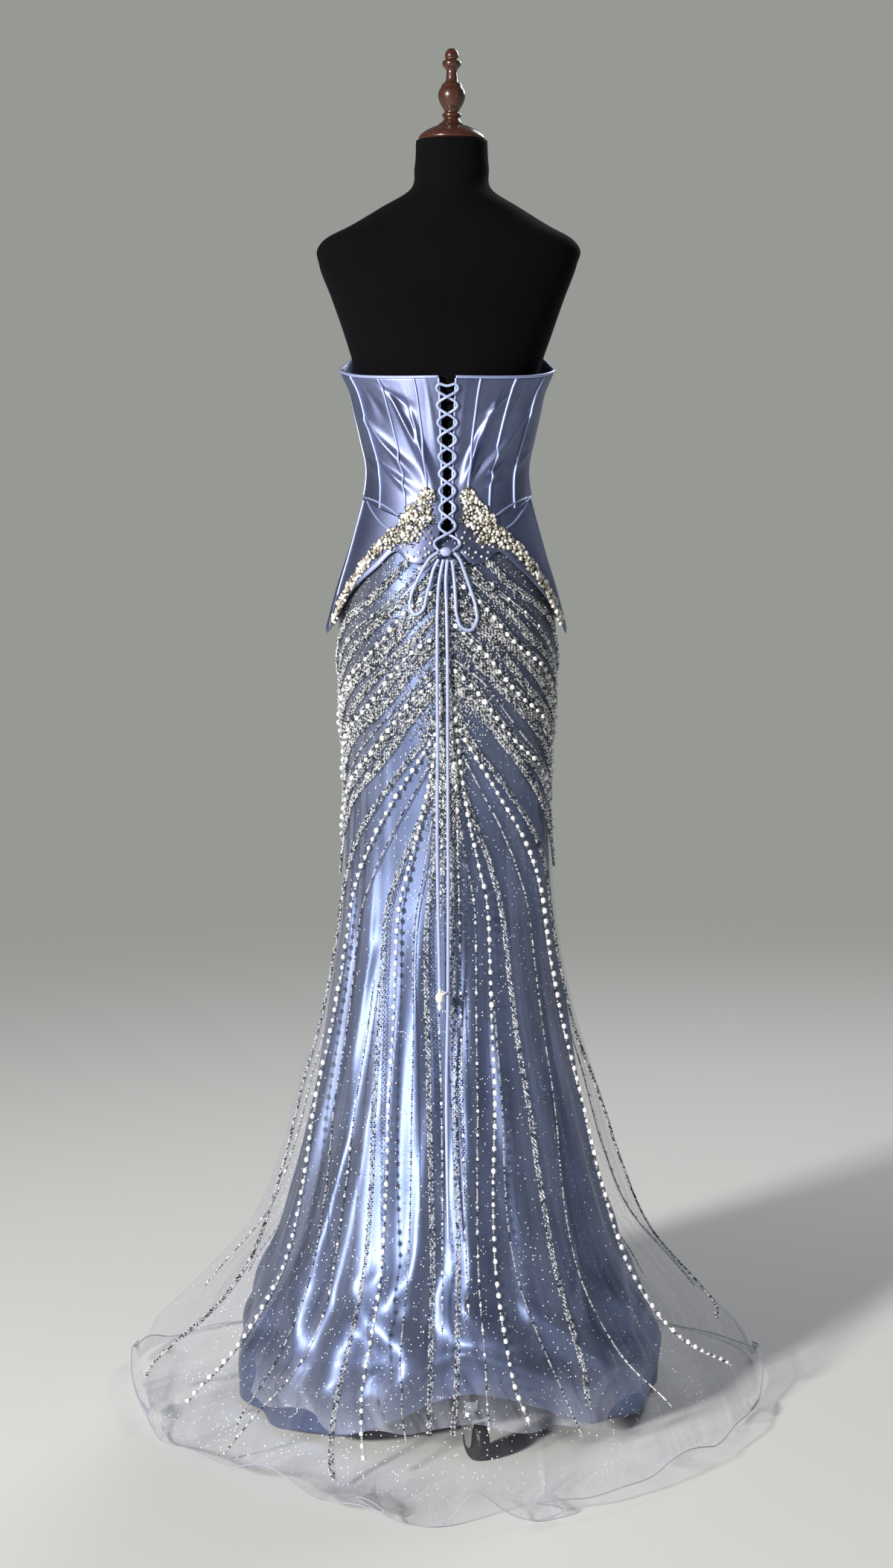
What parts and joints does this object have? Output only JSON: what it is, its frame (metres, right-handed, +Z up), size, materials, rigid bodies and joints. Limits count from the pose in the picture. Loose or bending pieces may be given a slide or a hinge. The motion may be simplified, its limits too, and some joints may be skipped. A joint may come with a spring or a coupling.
{
  "type": "mermaid evening gown on a limbless dress form",
  "caption": "Strapless mermaid gown with a laced satin corset, scalloped peplum, beaded net overskirt and short train, worn on a limbless dress form with a castered stand.",
  "frame": {"origin": "on the floor, under the middle of the gown and its train", "axes": "+Z up; the laced back of the gown faces -Y and its front +Y; +X is to the right of someone looking at the back"},
  "size_m": [0.871, 0.8384, 1.8149],
  "materials": {
    "satin": "heavy blue satin",
    "net": "sheer grey-blue net with fine sparkle",
    "pearl": "cream pearls and cut glass beads",
    "cord": "satin rouleau cord",
    "velvet": "black velvet",
    "wood": "polished walnut",
    "steel": "plated",
    "wheel": "matt"
  },
  "bodies": {
    "gown_and_form": {"corset_centre_back_left": "satin", "corset_back_left": "satin", "corset_side_back_left": "satin", "corset_side_left": "satin", "corset_cup_left": "satin", "peplum_back_left": "satin", "pearl_band_left": "pearl", "satin_back_left": "satin", "satin_side_back_left": "satin", "satin_side_front_left": "satin", "net_back_left": "net", "net_side_back_left": "net", "net_side_front_left": "net", "corset_centre_back_right": "satin", "corset_back_right": "satin", "corset_side_back_right": "satin", "corset_side_right": "satin", "corset_cup_right": "satin", "peplum_back_right": "satin", "pearl_band_right": "pearl", "satin_back_right": "satin", "satin_side_back_right": "satin", "satin_side_front_right": "satin", "net_back_right": "net", "net_side_back_right": "net", "net_side_front_right": "net", "corset_centre_front": "satin", "top_binding": "satin", "peplum_front": "satin", "satin_front": "satin", "net_front": "net", "net_underlay_back": "net", "lacing": "cord", "bow_knot": "cord", "bow_loop_left": "cord", "bow_loop_right": "cord", "bow_tail_left": "cord", "bow_tail_right": "cord", "pearl_drop": "pearl", "form_torso": "velvet", "neck_cap": "wood", "finial": "wood", "pole": "steel", "hub": "steel", "leg_back": "steel", "leg_right": "steel", "leg_left": "steel"},
    "fork_back": {"caster_fork_back": "steel"},
    "wheel_back": {"caster_wheel_back": "wheel"},
    "fork_right": {"caster_fork_right": "steel"},
    "wheel_right": {"caster_wheel_right": "wheel"},
    "fork_left": {"caster_fork_left": "steel"},
    "wheel_left": {"caster_wheel_left": "wheel"}
  },
  "joints": [
    {"name": "swivel_back", "type": "hinge", "parent": "gown_and_form", "child": "fork_back", "pos_m": [0.02853, -0.1815, 0.056], "axis": [0, 0, 1], "continuous": true},
    {"name": "roll_back", "type": "hinge", "parent": "fork_back", "child": "wheel_back", "pos_m": [0.03642, -0.19768, 0.025], "axis": [0.8988, 0.4384, 0], "continuous": true},
    {"name": "swivel_right", "type": "hinge", "parent": "gown_and_form", "child": "fork_right", "pos_m": [0.16154, 0.14771, 0.056], "axis": [0, 0, 1], "continuous": true},
    {"name": "roll_right", "type": "hinge", "parent": "fork_right", "child": "wheel_right", "pos_m": [0.17893, 0.14305, 0.025], "axis": [0.2588, 0.9659, 0], "continuous": true},
    {"name": "swivel_left", "type": "hinge", "parent": "gown_and_form", "child": "fork_left", "pos_m": [-0.19007, 0.09829, 0.056], "axis": [0, 0, 1], "continuous": true},
    {"name": "roll_left", "type": "hinge", "parent": "fork_left", "child": "wheel_left", "pos_m": [-0.19623, 0.11521, 0.025], "axis": [-0.9397, -0.342, 0], "continuous": true}
  ]
}
